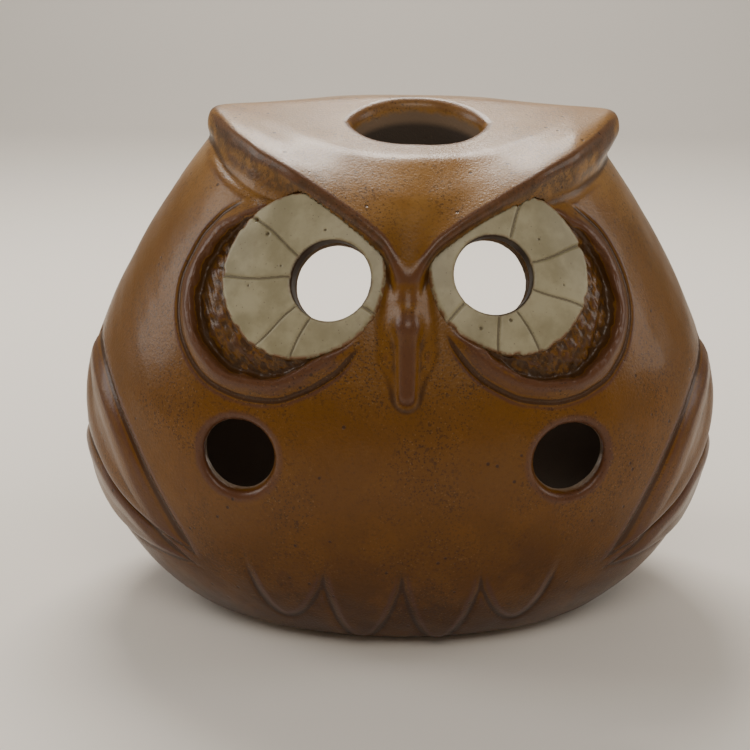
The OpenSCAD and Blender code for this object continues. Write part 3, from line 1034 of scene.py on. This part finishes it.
glazed("lantern_body", "body_shell", shell_piece, (SHELL_LO - (1, 1, 6), SHELL_HI + 1), 1.1)
sculpt("lantern_floor", "base_floor", base_piece, BASE_LO, BASE_HI, 1.0, BARE, "bare_clay",
       with_glaze=False, shared=None)
CAP_BOX = (-60, CAP_LO[1] - 1, CAP_BOTTOM_Z), (60, CAP_HI[1] + 3, CAP_HI[2] + 1)
# the brow's socket attribute marks its face, darkened partly as glaze tone and partly as painted shade
# under the overhang
glazed("brow", "brow_cap", cap_piece, CAP_BOX, 0.6, mask=brow_face)
glazed("bill", "beak", beak_piece, around("beak", 4), 0.35)
for side, word in ((1, "left"), (-1, "right")):
    disc, node = disc_piece(side), f"{word}_eye_disc"
    sculpt(f"{word}_disc", node, disc, *around(node, 3), 0.32, CREAM, "cream_glaze", shared=disc,
           mask=lambda p, side=side: disc_rim(p, side))
    node = f"{word}_eye_ring"
    glazed(f"{word}_socket", node, ring_piece(side), around(node, 5), 0.45)
    for upper, where in ((True, "upper"), (False, "lower")):
        node = f"{word}_{where}_wing_feather"
        glazed(f"{word}_{where}_wing", node, wing_piece(side, upper), around(node, 5), 0.55)
    for inner, where in ((True, "inner"), (False, "outer")):
        node = f"{word}_{where}_breast_feather"
        glazed(f"{word}_{where}_breast", node, breast_piece(side, inner), around(node, 5), 0.5)

METAL, WAX, COTTON = drawn_metal(), paraffin(), cotton()
for node, material in (("cup", METAL), ("wick_tab", METAL), ("wax", WAX), ("wick", COTTON)):
    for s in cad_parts[f"tealight_{node}"].material_slots:
        s.material = material


# ---------------------------------------------------------------- stage, light and camera

LO, HI = FIRST_BOUNDS
SIZE = (HI - LO).length


def sweep():
    """A pale floor that curves up into a backdrop."""
    depth, width, bend = 6 * SIZE, 9 * SIZE, 1.2 * SIZE
    profile = [(-3 * SIZE, 0.0), (depth - bend, 0.0)]
    profile += [
        (depth - bend + bend * math.sin(a), bend - bend * math.cos(a))
        for a in np.linspace(0.05, math.pi / 2, 24)
    ]
    profile.append((depth, 6 * SIZE))
    verts = [(s * width, y, z) for y, z in profile for s in (-1, 1)]
    faces = [(2 * i, 2 * i + 1, 2 * i + 3, 2 * i + 2) for i in range(len(profile) - 1)]
    mesh = bpy.data.meshes.new("sweep")
    mesh.from_pydata(verts, [], faces)
    mesh.polygons.foreach_set("use_smooth", [True] * len(mesh.polygons))
    obj = bpy.data.objects.new("sweep", mesh)
    bpy.context.scene.collection.objects.link(obj)
    mat = bpy.data.materials.new("pale_sweep")
    mat.use_nodes = True
    bsdf = mat.node_tree.nodes["Principled BSDF"]
    bsdf.inputs["Base Color"].default_value = (0.80, 0.76, 0.70, 1)
    bsdf.inputs["Roughness"].default_value = 0.75
    mesh.materials.append(mat)


def area_light(name, at, aim, size, power, colour=(1, 1, 1)):
    light = bpy.data.lights.new(name, "AREA")
    light.shape, light.size, light.size_y = "RECTANGLE", size[0] * SIZE, size[1] * SIZE
    light.energy, light.color = power, colour
    obj = bpy.data.objects.new(name, light)
    bpy.context.scene.collection.objects.link(obj)
    obj.location = Vector(at) * SIZE
    obj.rotation_euler = (Vector(aim) * SIZE - obj.location).to_track_quat("-Z", "Y").to_euler()


sweep()
area_light("overhead", (-0.3, 1.9, 2.9), (0, 0, 0.3), (1.7, 0.7), 6.0, (1.0, 0.94, 0.86))
area_light("window_left", (-3.0, 0.2, 1.8), (0, 0, 0.25), (1.4, 2.0), 2.4, (1.0, 0.97, 0.93))
area_light("window_right", (3.0, 0.0, 1.6), (0, 0, 0.25), (1.2, 1.8), 1.4, (1.0, 0.95, 0.89))
area_light("front", (0.2, -3.0, 3.0), (0, 0, 0.25), (2.6, 1.6), 3.8, (1.0, 0.92, 0.82))
area_light("backdrop", (0.0, 2.6, 4.2), (0, 6.0, 1.6), (4.0, 1.5), 8.0, (1.0, 0.95, 0.89))

world = bpy.data.worlds.new("studio")
bpy.context.scene.world = world
world.use_nodes = True
world.node_tree.nodes["Background"].inputs["Color"].default_value = (0.82, 0.79, 0.74, 1)
world.node_tree.nodes["Background"].inputs["Strength"].default_value = 0.24

DISTANCE = 0.400
AZIMUTH, ELEVATION, ROLL = -1.5, 15.0, 0.65
AIM = Vector((0.0, 0.0, 0.0576))
LOOK = (-0.0064, 0.0)
cam_data = bpy.data.cameras.new("camera")
cam_data.sensor_width = 36.0
cam_data.lens = 71.86
cam = bpy.data.objects.new("camera", cam_data)
bpy.context.scene.collection.objects.link(cam)
a, e = math.radians(AZIMUTH), math.radians(ELEVATION)
back = Vector((math.sin(a) * math.cos(e), -math.cos(a) * math.cos(e), math.sin(e)))
cam.location = AIM + back * DISTANCE
turn = (-back).to_track_quat("-Z", "Y").to_matrix()
look = turn @ Vector((LOOK[0], LOOK[1], -DISTANCE))
turn = look.to_track_quat("-Z", "Y").to_matrix()
cam.rotation_euler = (turn @ Matrix.Rotation(math.radians(ROLL), 3, "Z")).to_euler()
bpy.context.scene.camera = cam
